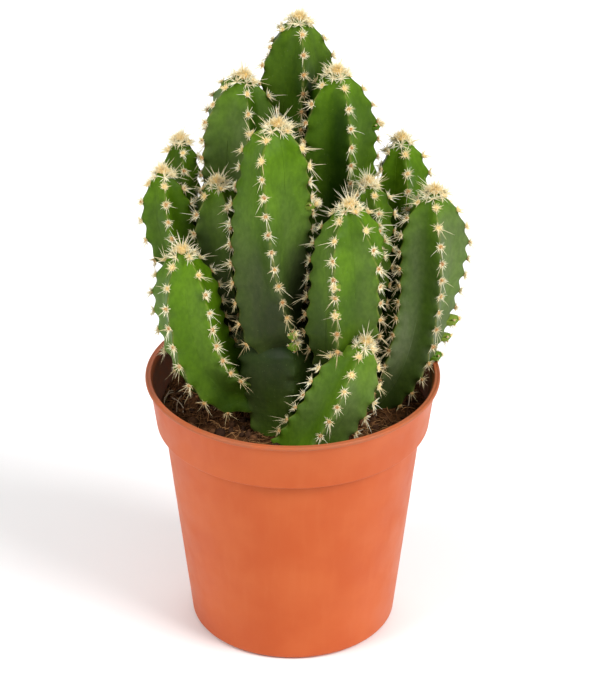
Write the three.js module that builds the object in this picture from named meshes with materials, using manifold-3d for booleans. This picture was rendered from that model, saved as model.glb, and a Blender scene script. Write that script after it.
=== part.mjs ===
// A clump of ribbed, spiny cactus stems growing in a round terracotta-coloured nursery pot.
// Millimetres, +Z up. The origin is the middle of the pot's underside, and the front faces -Y.
import * as THREE from 'three';
import { mergeVertices } from 'three/addons/utils/BufferGeometryUtils.js';
import Module from 'manifold-3d';

// ---- Pot: a 10.5 cm thin-walled pot with a deep rim band and a thin lip
const POT_HEIGHT = 98.5;
const LIP_RADIUS = 52.5;
const LIP_WIDTH = 2.2;
const LIP_THICKNESS = 1.4;
const BAND_HEIGHT = 19;
const BAND_TOP_RADIUS = 51;
const BAND_FOOT_RADIUS = 48.8;
const BODY_TOP_RADIUS = 45.9;
const BODY_FOOT_RADIUS = 37;
const FOOT_ROUNDING = 2.5;
const EDGE = 0.4;
const WALL = 1.2;
const FLOOR = 1.6;
const UNDERSIDE_RECESS = 1.2;
const PAD_RADIUS = 14;
const FOOT_RING_WIDTH = 4;
const DRAIN_HOLES = 6;
const DRAIN_RADIUS = 4;
const DRAIN_CIRCLE_RADIUS = 22.5;
const DRAIN_SIDES = 10;
const POT_SIDES = 48;

// ---- Soil: fills the pot to a little below the rim
const SOIL_LEVEL = 85;
const SOIL_SIDES = 26;
const SOIL_RINGS = 4;
const SOIL_RELIEF = 0.9;
const GAP = 0.3;

// ---- Stems: ribbed, and notched between the cushions that the spines grow from
const RIBS = 5;
const VALLEY_SHARE = 0.64;
const VALLEY_HALF_ANGLE = THREE.MathUtils.degToRad(7);
const ROW_SPACING = 3.5;
const NOTCH_DEPTH = 1.3;
const DOME_SHARE = 1.5;
const DOME_POWER = 1.7;
const NECK_SHARE = 0.55;
const NECK_REACH = 0.3;
const SWELL = 0.5;
const BUD_SIDES = 7;
const BUD_BANDS = 5;

// ---- Spines
const SPINE_SIDES = 3;
const SPINE_RADIUS = 0.45;
const SPINE_LENGTH = 5.5;
const SPINE_LENGTH_SPREAD = 2.5;
const SPINE_LEAN = 0.5;
const SPINE_CLEARANCE = 0.8;
const TIP_SPINES = 6;
const TIP_SPINE_LENGTH = 6.5;
const TIP_SPINE_ROOT = 0.9;
const TIP_SPINE_CIRCLE = 1.4;
const TIP_SPINE_LEAN = 0.75;
const SEED = 41;

// Each stem: its axis from the foot over two bends to the tip, the radius at the rib crests, and
// the turn in degrees of its first rib from the front, at the tip, with any twist of the ribs
// down to the foot. Another number of ribs, a dome shorter than usual, a fuller neck, shallower
// valleys, the waists left by pauses in growth and the buds on its ribs are given where the stem
// has them. The trunk is an old stump, bare of spines.
const STEMS = [
  { name: 'trunk', path: [[-2.5, -13, 66], [-2.5, -13, 84], [-4, -11, 104], [-4, -10, 124]],
    radius: 17.3, turn: -59, dome: 0.55, neck: 0.64, neckReach: 0.8, valley: 0.8, bare: true },
  { name: 'stem_tall_back', path: [[-2, 30, 66], [0, 28, 110], [0, 33, 186], [2.5, 33, 221]],
    radius: 14.4, turn: 9 },
  { name: 'stem_upper_left', path: [[-15, 20, 66], [-22, 24, 104], [-21, 26, 174], [-17, 24, 203]],
    radius: 14.8, turn: 14, dome: 1.4 },
  { name: 'stem_upper_right', path: [[12, 18, 66], [17, 16, 104], [14.5, 18, 178], [15.5, 17, 208]],
    radius: 14.4, turn: 20, buds: [{ rib: 1, drop: 21, size: 1.9 }] },
  { name: 'stem_middle', path: [[-2, -15, 115], [-12.5, -14, 126], [-6, -13, 176], [-5, -12, 201.5]],
    radius: 14.2, ribs: 4, turn: -34, twist: 78, dome: 1.15, valley: 0.62, neckReach: 0.15,
    waists: [{ drop: 18, depth: 0.11, spread: 8 }, { drop: 66, depth: 0.07, spread: 20 }],
    buds: [
      { rib: 0, drop: 76, size: 1.8 },
      { rib: 0, drop: 83, size: 2.3 },
      { rib: 1, drop: 28, size: 2.2 },
    ] },
  { name: 'stem_lower_left', path: [[-7, -12, 99], [-35, -16, 95], [-37, -16, 132], [-38, -15, 155]],
    radius: 12.7, turn: -32, neck: 0.6 },
  { name: 'stem_front_right', path: [[15, -18, 113], [17.5, -21, 125], [21, -21, 155], [19.5, -20, 175]],
    radius: 13.8, turn: -40, twist: 44, neck: 0.65, neckReach: 0.25,
    buds: [{ rib: 0, drop: 25, size: 2 }, { rib: 0, drop: 35, size: 1.9 }] },
  { name: 'stem_low_right', path: [[0, -26, 80], [10, -29, 90], [19, -29, 110], [25, -29, 127]],
    radius: 11.9, turn: -11, twist: 4, neck: 0.9 },
  { name: 'stem_far_right', path: [[18, 2, 76], [42, 4, 94], [49.5, 4, 130], [49.3, 3, 169]],
    radius: 13.2, turn: 0, twist: 60, neckReach: 0.4, waists: [{ drop: 42, depth: 0.05, spread: 12 }],
    buds: [
      { rib: 1, drop: 50, size: 2 },
      { rib: 1, drop: 57, size: 1.6 },
      { rib: 1, drop: 65, size: 1.9 },
      { rib: 1, drop: 75, size: 1.7 },
    ] },
  { name: 'stem_left_middle', path: [[-19, 8, 114], [-27, 3, 130], [-25, 4, 153], [-26, 4, 172]],
    radius: 11, turn: -50 },
  { name: 'stem_right_rear', path: [[29, 12, 109], [39, 20, 137], [39, 22, 160], [38, 22, 180]],
    radius: 9.8, turn: 12 },
  { name: 'stem_right_middle', path: [[21, -4, 106], [25, -4, 128], [29, -1, 152], [26, 0, 174]],
    radius: 8.2, turn: 20 },
  { name: 'stem_far_left', path: [[-31, 2, 138], [-41, 3, 143], [-45, 5, 155], [-45, 6, 175]],
    radius: 9.7, turn: 8 },
  { name: 'stem_left_rear', path: [[-22, 16, 100], [-40, 18, 120], [-40, 20, 161], [-39, 20, 181]],
    radius: 7.2, turn: 10 },
];

const PLASTIC = { color: 0xd9713f, roughness: 0.45, metalness: 0 };
const PEAT = { color: 0x3b2a20, roughness: 0.95, metalness: 0 };
const STEM_GREEN = { color: 0x3f7a2a, roughness: 0.5, metalness: 0 };

const wasm = await Module();
wasm.setup();

// ---- Solids ------------------------------------------------------------------------------------

function solidOf(geometry) {
  const bare = geometry.clone();
  bare.deleteAttribute('normal');
  bare.deleteAttribute('uv');
  const merged = mergeVertices(bare, 1e-4);
  const vertProperties = merged.attributes.position.array;
  const triVerts = new Uint32Array(merged.index.array);
  return new wasm.Manifold(new wasm.Mesh({ numProp: 3, vertProperties, triVerts }));
}

function meshOf(name, solid, finish) {
  const { vertProperties, triVerts } = solid.getMesh();
  const geometry = new THREE.BufferGeometry();
  geometry.setAttribute('position', new THREE.BufferAttribute(vertProperties, 3));
  geometry.setIndex(new THREE.BufferAttribute(triVerts, 1));
  geometry.computeVertexNormals();
  const mesh = new THREE.Mesh(geometry, new THREE.MeshStandardMaterial(finish));
  mesh.name = name;
  return mesh;
}

// The biggest of the pieces that a cut leaves: loose scraps are dropped.
function largestPiece(solid) {
  const pieces = solid.decompose();
  return pieces.reduce((best, piece) => (piece.volume() > best.volume() ? piece : best));
}

// A solid of revolution about +Z from a profile of [radius, height] points, bottom to top outside.
function turned(profile, sides) {
  const points = profile.map(([radius, height]) => new THREE.Vector2(radius, height));
  return new THREE.LatheGeometry(points, sides).rotateX(Math.PI / 2);
}

// Seeded draws between 0 and 1, so that every run gives the same spines.
function seededDraws(seed) {
  let state = seed;
  return () => {
    state = (state + 0x6d2b79f5) | 0;
    let mixed = Math.imul(state ^ (state >>> 15), 1 | state);
    mixed = (mixed + Math.imul(mixed ^ (mixed >>> 7), 61 | mixed)) ^ mixed;
    return ((mixed ^ (mixed >>> 14)) >>> 0) / 4294967296;
  };
}

// ---- Pot ---------------------------------------------------------------------------------------

const BAND_FOOT = POT_HEIGHT - BAND_HEIGHT;
const LIP_INNER_RADIUS = LIP_RADIUS - LIP_WIDTH;
const LIP_UNDERSIDE = POT_HEIGHT - LIP_THICKNESS;
const FLOOR_TOP = UNDERSIDE_RECESS + FLOOR;
const RING_OUTER = BODY_FOOT_RADIUS - FOOT_ROUNDING;
const RING_INNER = RING_OUTER - FOOT_RING_WIDTH;

// The pot's outside, from the middle of its underside to its lip.
function potOutside() {
  const underside = [
    [0, 0],
    [PAD_RADIUS, 0],
    [PAD_RADIUS + UNDERSIDE_RECESS, UNDERSIDE_RECESS],
    [RING_INNER - UNDERSIDE_RECESS, UNDERSIDE_RECESS],
    [RING_INNER, 0],
    [RING_OUTER, 0],
    [RING_OUTER + FOOT_ROUNDING * Math.SQRT1_2, FOOT_ROUNDING * (1 - Math.SQRT1_2)],
    [BODY_FOOT_RADIUS, FOOT_ROUNDING],
  ];
  const side = [
    [BODY_TOP_RADIUS, BAND_FOOT - EDGE],
    [BAND_FOOT_RADIUS, BAND_FOOT + EDGE],
    [BAND_TOP_RADIUS, LIP_UNDERSIDE - EDGE],
    [LIP_RADIUS, LIP_UNDERSIDE],
    [LIP_RADIUS, POT_HEIGHT - EDGE],
    [LIP_RADIUS - EDGE, POT_HEIGHT],
  ];
  return [...underside, ...side];
}

// The inside wall as [radius, height] from the lip down to the floor.
function potInside() {
  return [
    [LIP_INNER_RADIUS, POT_HEIGHT],
    [BAND_FOOT_RADIUS - WALL, BAND_FOOT + WALL],
    [BODY_TOP_RADIUS - WALL, BAND_FOOT - WALL],
    [BODY_FOOT_RADIUS - WALL, FLOOR_TOP + 1],
    [BODY_FOOT_RADIUS - WALL - 1, FLOOR_TOP],
  ];
}

function pot() {
  const shell = solidOf(turned([...potOutside(), ...potInside(), [0, FLOOR_TOP]], POT_SIDES));
  const drains = [];
  for (let hole = 0; hole < DRAIN_HOLES; hole += 1) {
    const angle = (2 * Math.PI * (hole + 0.5)) / DRAIN_HOLES;
    const drill = new THREE.CylinderGeometry(DRAIN_RADIUS, DRAIN_RADIUS, 3 * FLOOR_TOP, DRAIN_SIDES);
    drill.rotateX(Math.PI / 2);
    drill.translate(DRAIN_CIRCLE_RADIUS * Math.cos(angle), DRAIN_CIRCLE_RADIUS * Math.sin(angle), 0);
    drains.push(solidOf(drill));
  }
  return shell.subtract(wasm.Manifold.union(drains));
}

// ---- Soil --------------------------------------------------------------------------------------

function soilRelief(x, y) {
  const swells = Math.sin(0.19 * x + 0.8) * Math.cos(0.16 * y - 0.5);
  const crumbs = 0.6 * Math.sin(0.47 * x - 0.31 * y) * Math.cos(0.38 * x + 0.29 * y);
  return SOIL_RELIEF * (swells + crumbs);
}

// The soil's outer wall keeps a small gap to the pot.
function soilBody() {
  const wall = potInside()
    .reverse()
    .filter(([, height]) => height < SOIL_LEVEL)
    .map(([radius, height]) => [radius - 1.5 * GAP, height + GAP]);
  const edgeRadius = BAND_FOOT_RADIUS - WALL - GAP;
  const profile = [[0, FLOOR_TOP + GAP], ...wall, [edgeRadius, SOIL_LEVEL]];
  for (let ring = SOIL_RINGS - 1; ring >= 0; ring -= 1) {
    profile.push([(edgeRadius * ring) / SOIL_RINGS, SOIL_LEVEL]);
  }
  const geometry = turned(profile, SOIL_SIDES);
  const position = geometry.attributes.position;
  for (let i = 0; i < position.count; i += 1) {
    if (position.getZ(i) > SOIL_LEVEL - 0.01) {
      position.setZ(i, SOIL_LEVEL + soilRelief(position.getX(i), position.getY(i)));
    }
  }
  return solidOf(geometry);
}

// ---- Stems -------------------------------------------------------------------------------------

// Distances of the rows from the tip: close together at the tip, then evenly spaced to the foot.
function rowDistances(length) {
  const count = 2 * Math.round((length / ROW_SPACING + 2) / 2);
  const spaced = (row) => (row * row) / (row + 2);
  return Array.from({ length: count + 1 }, (_, row) => (length * spaced(row)) / spaced(count));
}

// The axis at a distance from the tip, with the directions that the rib angles are measured by.
function axisFrame(stem, distance) {
  const share = THREE.MathUtils.clamp(1 - distance / stem.length, 0, 1);
  const centre = stem.curve.getPointAt(share);
  const tangent = stem.curve.getTangentAt(share);
  const front = new THREE.Vector3(0, -1, 0);
  front.addScaledVector(tangent, -front.dot(tangent)).normalize();
  const side = new THREE.Vector3().crossVectors(tangent, front);
  return { centre, tangent, front, side };
}

// The radius at the rib crests: a dome at the tip, a neck at the foot, and any waists between.
function crestRadius(stem, distance) {
  const rise = 1 - THREE.MathUtils.clamp(distance / (stem.dome * stem.radius), 0, 1);
  const dome = (1 - rise ** DOME_POWER) ** (1 / DOME_POWER);
  const necking = THREE.MathUtils.smoothstep(stem.length - distance, 0, stem.neckReach * stem.length);
  const neck = stem.neck + (1 - stem.neck) * necking;
  const pinch = ({ drop, depth, spread }) => 1 - depth * Math.exp(-(((distance - drop) / spread) ** 2));
  return stem.waists.reduce((radius, waist) => radius * pinch(waist), stem.radius * dome * neck);
}

function outward(frame, angle) {
  return frame.front.clone().multiplyScalar(Math.cos(angle)).addScaledVector(frame.side, Math.sin(angle));
}

function ribAngle(stem, rib, distance) {
  const turn = stem.turn + (stem.twist * distance) / stem.length;
  return THREE.MathUtils.degToRad(turn) + (rib * 2 * Math.PI) / stem.ribs;
}

// Every second row of a rib carries a spine cushion; the rows between them are notches.
function isCushion(row, rib) {
  return row > 0 && (row + rib) % 2 === 0;
}

// How far a swollen skin moves along the axis: up over the dome, down at the foot.
function swellLift(stem, distance, swell) {
  if (distance >= stem.length) return -swell;
  return swell * Math.max(0, 1 - distance / (stem.dome * stem.radius));
}

function skinPoint(stem, row, angle, radius, swell) {
  const distance = stem.rows[row];
  const frame = axisFrame(stem, distance);
  frame.centre.addScaledVector(frame.tangent, swellLift(stem, distance, swell));
  return frame.centre.addScaledVector(outward(frame, angle), radius + swell);
}

function crestPoint(stem, row, rib, swell = 0) {
  const full = crestRadius(stem, stem.rows[row]);
  const notch = isCushion(row, rib) ? 0 : (NOTCH_DEPTH * full) / stem.radius;
  return skinPoint(stem, row, ribAngle(stem, rib, stem.rows[row]), full - notch, swell);
}

// A point of the valley after a rib, at an angle from the valley's middle.
function valleyPoint(stem, row, rib, angle, swell = 0) {
  const middle = ribAngle(stem, rib + 0.5, stem.rows[row]);
  return skinPoint(stem, row, middle + angle, stem.valley * crestRadius(stem, stem.rows[row]), swell);
}

// The stem's skin: a crest line on each rib with a point in every row, and a flat-bottomed valley
// between ribs with its points in every second row. Where a cushion has a spine, its crest point
// opens into a small triangle (up, left, right) that the spine rises from. Swell makes the skin
// a little larger.
function stemSkin(stem, spines = [], swell = 0) {
  const positions = [];
  const triangles = [];
  const add = (point) => positions.push(point.x, point.y, point.z) / 3 - 1;
  const face = (a, b, c) => {
    if (a !== b && b !== c && c !== a) triangles.push(a, b, c);
  };
  const plain = (index) => ({ up: index, left: index, right: index });
  const last = stem.rows.length - 1;
  const top = axisFrame(stem, 0);
  const apex = add(top.centre.addScaledVector(top.tangent, swell));
  const crest = [];
  const valley = [];
  for (let rib = 0; rib < stem.ribs; rib += 1) {
    crest.push([plain(apex)]);
    valley.push({ near: [apex], far: [apex] });
    for (let row = 1; row <= last; row += 1) {
      const spine = spines.find((entry) => entry.rib === rib && entry.row === row);
      if (spine) crest[rib].push(spineBase(stem, spine, add));
      else crest[rib].push(plain(add(crestPoint(stem, row, rib, swell))));
      if (row % 2 === 0) {
        valley[rib].near[row] = add(valleyPoint(stem, row, rib, -VALLEY_HALF_ANGLE, swell));
        valley[rib].far[row] = add(valleyPoint(stem, row, rib, VALLEY_HALF_ANGLE, swell));
      }
    }
  }
  for (let rib = 0; rib < stem.ribs; rib += 1) {
    const c = crest[rib];
    const n = crest[(rib + 1) % stem.ribs];
    const { near, far } = valley[rib];
    for (let row = 0; row < last; row += 2) {
      face(c[row].right, c[row + 1].up, near[row]);
      face(c[row + 1].up, c[row + 1].right, near[row]);
      face(c[row + 1].right, near[row + 2], near[row]);
      face(c[row + 1].right, c[row + 2].up, near[row + 2]);
      face(c[row + 2].up, c[row + 2].right, near[row + 2]);
      face(near[row], near[row + 2], far[row + 2]);
      face(near[row], far[row + 2], far[row]);
      face(far[row], n[row + 1].up, n[row].left);
      face(far[row], n[row + 1].left, n[row + 1].up);
      face(far[row], far[row + 2], n[row + 1].left);
      face(far[row + 2], n[row + 2].up, n[row + 1].left);
      face(far[row + 2], n[row + 2].left, n[row + 2].up);
    }
    for (let row = 1; row < last; row += 1) {
      const { up, left, right, tip } = c[row];
      if (tip === undefined) continue;
      face(left, c[row + 1].up, right);
      face(up, left, tip);
      face(left, right, tip);
      face(right, up, tip);
    }
  }
  const bottom = axisFrame(stem, stem.length);
  const foot = add(bottom.centre.addScaledVector(bottom.tangent, -swell));
  for (let rib = 0; rib < stem.ribs; rib += 1) {
    const next = (rib + 1) % stem.ribs;
    const { near, far } = valley[rib];
    const ring = [crest[rib][last].up, near[last], far[last], crest[next][last].up];
    for (let step = 0; step < 3; step += 1) face(foot, ring[step + 1], ring[step]);
  }
  const geometry = new THREE.BufferGeometry();
  geometry.setAttribute('position', new THREE.Float32BufferAttribute(positions, 3));
  geometry.setIndex(triangles);
  return solidOf(geometry);
}

// The three points round a cushion that a spine rises from, and the spine's tip.
function spineBase(stem, { row, rib, root, tip }, add) {
  const towards = (point, reach) => point.clone().sub(root).setLength(reach);
  const above = crestPoint(stem, row - 1, rib);
  const below = crestPoint(stem, row + 1, rib);
  const leftValley = valleyPoint(stem, row, rib - 1, VALLEY_HALF_ANGLE);
  const rightValley = valleyPoint(stem, row, rib, -VALLEY_HALF_ANGLE);
  const down = towards(below, SPINE_RADIUS / 2);
  return {
    up: add(root.clone().add(towards(above, SPINE_RADIUS))),
    left: add(root.clone().add(towards(leftValley, SPINE_RADIUS)).add(down)),
    right: add(root.clone().add(towards(rightValley, SPINE_RADIUS)).add(down)),
    tip: add(tip),
  };
}

// Fills in what a stem's row leaves out and lays its axis.
function grow(entry) {
  const form = { dome: DOME_SHARE, neck: NECK_SHARE, neckReach: NECK_REACH, valley: VALLEY_SHARE };
  const stem = { ribs: RIBS, twist: 0, ...form, waists: [], buds: [], ...entry };
  stem.curve = new THREE.CubicBezierCurve3(...entry.path.map((point) => new THREE.Vector3(...point)));
  stem.length = stem.curve.getLength();
  stem.rows = rowDistances(stem.length);
  return stem;
}

// A green bud is a small round knob that stands half out of a rib's crest.
function bud(stem, { rib, drop, size }) {
  const frame = axisFrame(stem, drop);
  const direction = outward(frame, ribAngle(stem, rib, drop));
  const knob = new THREE.SphereGeometry(size, BUD_SIDES, BUD_BANDS);
  const centre = frame.centre.addScaledVector(direction, crestRadius(stem, drop));
  knob.translate(centre.x, centre.y, centre.z);
  return solidOf(knob);
}

// ---- Spines ------------------------------------------------------------------------------------

// One long spine on each cushion, leaning a little up, down or sideways.
function cushionSpines(stem, draw) {
  const spines = [];
  const lean = () => SPINE_LEAN * (2 * draw() - 1);
  for (let rib = 0; rib < stem.ribs; rib += 1) {
    for (let row = 1; row < stem.rows.length - 2; row += 1) {
      if (!isCushion(row, rib)) continue;
      const frame = axisFrame(stem, stem.rows[row]);
      const root = crestPoint(stem, row, rib);
      const direction = outward(frame, ribAngle(stem, rib, stem.rows[row]) + lean());
      direction.addScaledVector(frame.tangent, lean()).normalize();
      const length = SPINE_LENGTH + SPINE_LENGTH_SPREAD * (draw() - 0.5);
      spines.push({ row, rib, root, tip: root.clone().addScaledVector(direction, length) });
    }
  }
  return spines;
}

// A tuft of spines spreads from the tip of each stem.
function tipSpines(stem) {
  const spines = [];
  const frame = axisFrame(stem, 0);
  for (let index = 0; index < TIP_SPINES; index += 1) {
    const angle = ribAngle(stem, 0, 0) + ((index + 0.5) * 2 * Math.PI) / TIP_SPINES;
    const away = outward(frame, angle);
    const root = frame.centre.clone().addScaledVector(away, TIP_SPINE_CIRCLE);
    root.addScaledVector(frame.tangent, -TIP_SPINE_ROOT);
    const direction = away.multiplyScalar(TIP_SPINE_LEAN).add(frame.tangent).normalize();
    spines.push({ root, tip: root.clone().addScaledVector(direction, TIP_SPINE_LENGTH) });
  }
  return spines;
}

// A three-sided needle whose root is sunk in the flesh.
function needle({ root, tip }) {
  const direction = tip.clone().sub(root);
  const length = direction.length() + TIP_SPINE_ROOT;
  const cone = new THREE.ConeGeometry(SPINE_RADIUS, length, SPINE_SIDES, 1);
  cone.translate(0, length / 2 - TIP_SPINE_ROOT, 0);
  const up = new THREE.Vector3(0, 1, 0);
  cone.applyQuaternion(new THREE.Quaternion().setFromUnitVectors(up, direction.normalize()));
  cone.translate(root.x, root.y, root.z);
  return solidOf(cone);
}

// True where a point is clear of the round outline of a stem.
function clearOfStem(point, stem, clearance) {
  for (let distance = 0; distance <= stem.length; distance += 2) {
    const { centre } = axisFrame(stem, distance);
    if (centre.distanceTo(point) < crestRadius(stem, distance) + clearance) return false;
  }
  return true;
}

// True where a point is clear of the soil and of the pot's rim.
function clearOfPot(point) {
  const radius = Math.hypot(point.x, point.y);
  const overSoil = point.z > SOIL_LEVEL + 3 * SOIL_RELIEF && radius < LIP_INNER_RADIUS - 2;
  return overSoil || point.z > POT_HEIGHT + SPINE_CLEARANCE;
}

// The gap between two spines, from points spread along the first.
function spineGap(first, second) {
  const steps = 8;
  const line = new THREE.Line3(second.root, second.tip);
  let gap = Infinity;
  for (let i = 0; i <= steps; i += 1) {
    const point = first.root.clone().lerp(first.tip, i / steps);
    const near = line.closestPointToPoint(point, true, new THREE.Vector3());
    gap = Math.min(gap, point.distanceTo(near));
  }
  return gap;
}

// Keeps the spines of one stem that cross nothing: no other stem, pot, soil or earlier spine.
function clearSpines(stem, stems, spines, standing) {
  const others = stems.filter((other) => other !== stem);
  const free = (point) =>
    clearOfPot(point) && others.every((other) => clearOfStem(point, other, SPINE_CLEARANCE));
  return spines.filter((spine) => {
    const middle = spine.root.clone().lerp(spine.tip, 0.5);
    if (![spine.root, middle, spine.tip].every(free)) return false;
    return standing.every((other) => spineGap(spine, other) > 2 * SPINE_RADIUS + GAP);
  });
}

// ---- Assembly ----------------------------------------------------------------------------------

function cactusInPot() {
  const group = new THREE.Group();
  const stems = STEMS.map(grow);
  const draw = seededDraws(SEED);
  const standing = [];
  const swollen = stems.map((stem) => stemSkin(stem, [], SWELL));
  stems.forEach((stem, index) => {
    const tuft = stem.bare ? [] : clearSpines(stem, stems, tipSpines(stem), standing);
    const spines = stem.bare ? [] : clearSpines(stem, stems, cushionSpines(stem, draw), standing);
    standing.push(...tuft, ...spines);
    const skin = stemSkin(stem, spines);
    const buds = stem.buds.map((entry) => bud(stem, entry));
    const whole = wasm.Manifold.union([skin, ...buds, ...tuft.map(needle)]);
    // Each stem gives way to the ones listed before it, so that neighbours keep a small gap.
    const earlier = swollen.slice(0, index);
    const cut = earlier.length ? whole.subtract(wasm.Manifold.union(earlier)) : whole;
    group.add(meshOf(stem.name, largestPiece(cut), STEM_GREEN));
  });
  const soil = soilBody().subtract(wasm.Manifold.union(swollen));
  group.add(meshOf('soil', largestPiece(soil), PEAT));
  group.add(meshOf('pot', pot(), PLASTIC));
  return group;
}

export default cactusInPot();
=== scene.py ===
"""A clump of ribbed, spiny cactus stems in a terracotta-coloured nursery pot, dressed over its CAD frame.

Sizes are in millimetres, turned into metres by MM. +Z is up, the origin is the middle of the pot's
underside and the front faces -Y.
"""

import math

import bpy
import numpy as np
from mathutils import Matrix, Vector, noise


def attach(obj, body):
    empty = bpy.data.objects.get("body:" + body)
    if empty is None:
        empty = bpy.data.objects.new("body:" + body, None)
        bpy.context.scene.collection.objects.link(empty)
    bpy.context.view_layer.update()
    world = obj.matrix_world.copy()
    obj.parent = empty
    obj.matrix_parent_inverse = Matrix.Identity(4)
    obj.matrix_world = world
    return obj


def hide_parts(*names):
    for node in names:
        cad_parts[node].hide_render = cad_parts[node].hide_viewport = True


MM = 0.001

# ---- Pot: a 10.5 cm thin-walled pot with a deep rim band and a thin lip
POT_HEIGHT = 98.5
LIP_RADIUS = 52.5
LIP_WIDTH = 2.2
LIP_THICKNESS = 1.4
BAND_HEIGHT = 19.0
BAND_TOP_RADIUS = 51.0
BAND_FOOT_RADIUS = 48.8
BODY_TOP_RADIUS = 45.9
BODY_FOOT_RADIUS = 37.0
FOOT_ROUNDING = 2.5
WALL = 1.2
FLOOR = 1.6
UNDERSIDE_RECESS = 1.2
PAD_RADIUS = 14.0
FOOT_RING_WIDTH = 4.0
DRAIN_HOLES = 6
DRAIN_RADIUS = 4.0
DRAIN_CIRCLE_RADIUS = 22.5
POT_SIDES = 192
DRAIN_SIDES = 32
BAND_FOOT = POT_HEIGHT - BAND_HEIGHT
FLOOR_TOP = UNDERSIDE_RECESS + FLOOR
INNER_RADIUS = BAND_FOOT_RADIUS - WALL

# ---- Soil, and the litter on it
SOIL_LEVEL = 85.0
SOIL_RELIEF = 0.9
CLOD_RELIEF = 1.1
SOIL_GAP = 0.3
SOIL_SIDES = 150
SOIL_RINGS = 75
LITTER_MARGIN = 1.5
WANDER = 0.15
FIBRES = 900
FIBRE_POINTS = 7
FIBRE_LENGTH = (3.0, 13.0)
FIBRE_RADIUS = (0.08, 0.22)
CRUMBS = 420
SMALLEST_CRUMB = 0.4
CRUMB_RANGE = 1.5
ROOTS = 9
ROOTS_AT_LEFT = 4
ROOT_POINTS = 9
ROOT_LENGTH = (8.0, 16.0)
ROOT_RADIUS = (0.18, 0.3)
ROOT_RISE = (1.8, 2.2)

# ---- Stems: ribbed, and notched between the cushions that the spines grow from
RIBS = 5
ROW_SPACING = 3.5
NOTCH_DEPTH = 1.3
NOTCH_PLACE = 0.7
NOTCH_WIDTH = 0.2
DOME_POWER = 1.7
CREST_ROUNDING = 0.09
VALLEY_ROUNDING = 0.3
POINTS_PER_RIB = 24
DOME_ROWS = 30
CROWDING = 0.11
ROW_STEP = 0.75
AXIS_SAMPLES = 400
RIB_WANDER = math.radians(1.3)
RIB_WANDER_LENGTH = 17.0

# ---- Skin: the width of the line on a crest, how far from the tip or the foot its colour changes, and the strength and reach of painted shade
CREST_LINE = 0.09
OLD_FRESHNESS = 0.1
TIP_FRESHNESS = 0.15
TIP_REACH = 12.0
FOOT_FRESH_REACH = 26.0
SHADE_REACH = 8.0
JOINT_SHADE_REACH = 19.0
STUMP_SHADE = 0.6
STUMP_SHADE_REACH = 13.0

# ---- Spines: (fewest, most) on a cushion, (shortest, longest), and the radius at the root
WOOL_BITS = (16, 22)
WOOL_LENGTH = (0.8, 1.7)
WOOL_RADIUS = 0.17
SHORT_SPINES = (14, 20)
SHORT_LENGTH = (1.1, 2.7)
SHORT_RADIUS = 0.12
LONG_SPINES = (3, 5)
LONG_LENGTH = (3.0, 6.8)
LONG_RADIUS = 0.1
SPINE_SINK = 0.5
CUSHION_RADIUS = 0.85
CUSHION_SPREAD = (0.3, 0.75)
YOUNG_CUSHIONS_REACH = 9.0

# ---- Tufts on the tips: a heart, a ring of clusters round it, and a few long spines
TUFT_STEM_RADIUS = 13.0
TUFT_REACH = 3.3
TUFT_CLUSTERS = 6
TUFT_CLUSTER = 25
TUFT_HEART = 190
TUFT_LONG = 16
TUFT_MOUND = 1.9
TUFT_LENGTH = (0.9, 2.4)
TUFT_RIM_LENGTH = (1.6, 3.7)
TUFT_LONG_LENGTH = (4.0, 8.0)

# ---- Buds: how much a plain one is swollen, its spines on the tip for each millimetre of size and on each
# rib, and how many times as many a woolly one has on its tip
BUD_SWELL = 1.25
BUD_SPINES = 16
BUD_RIB_SPINES = 7
WOOLLY = 3
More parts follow.
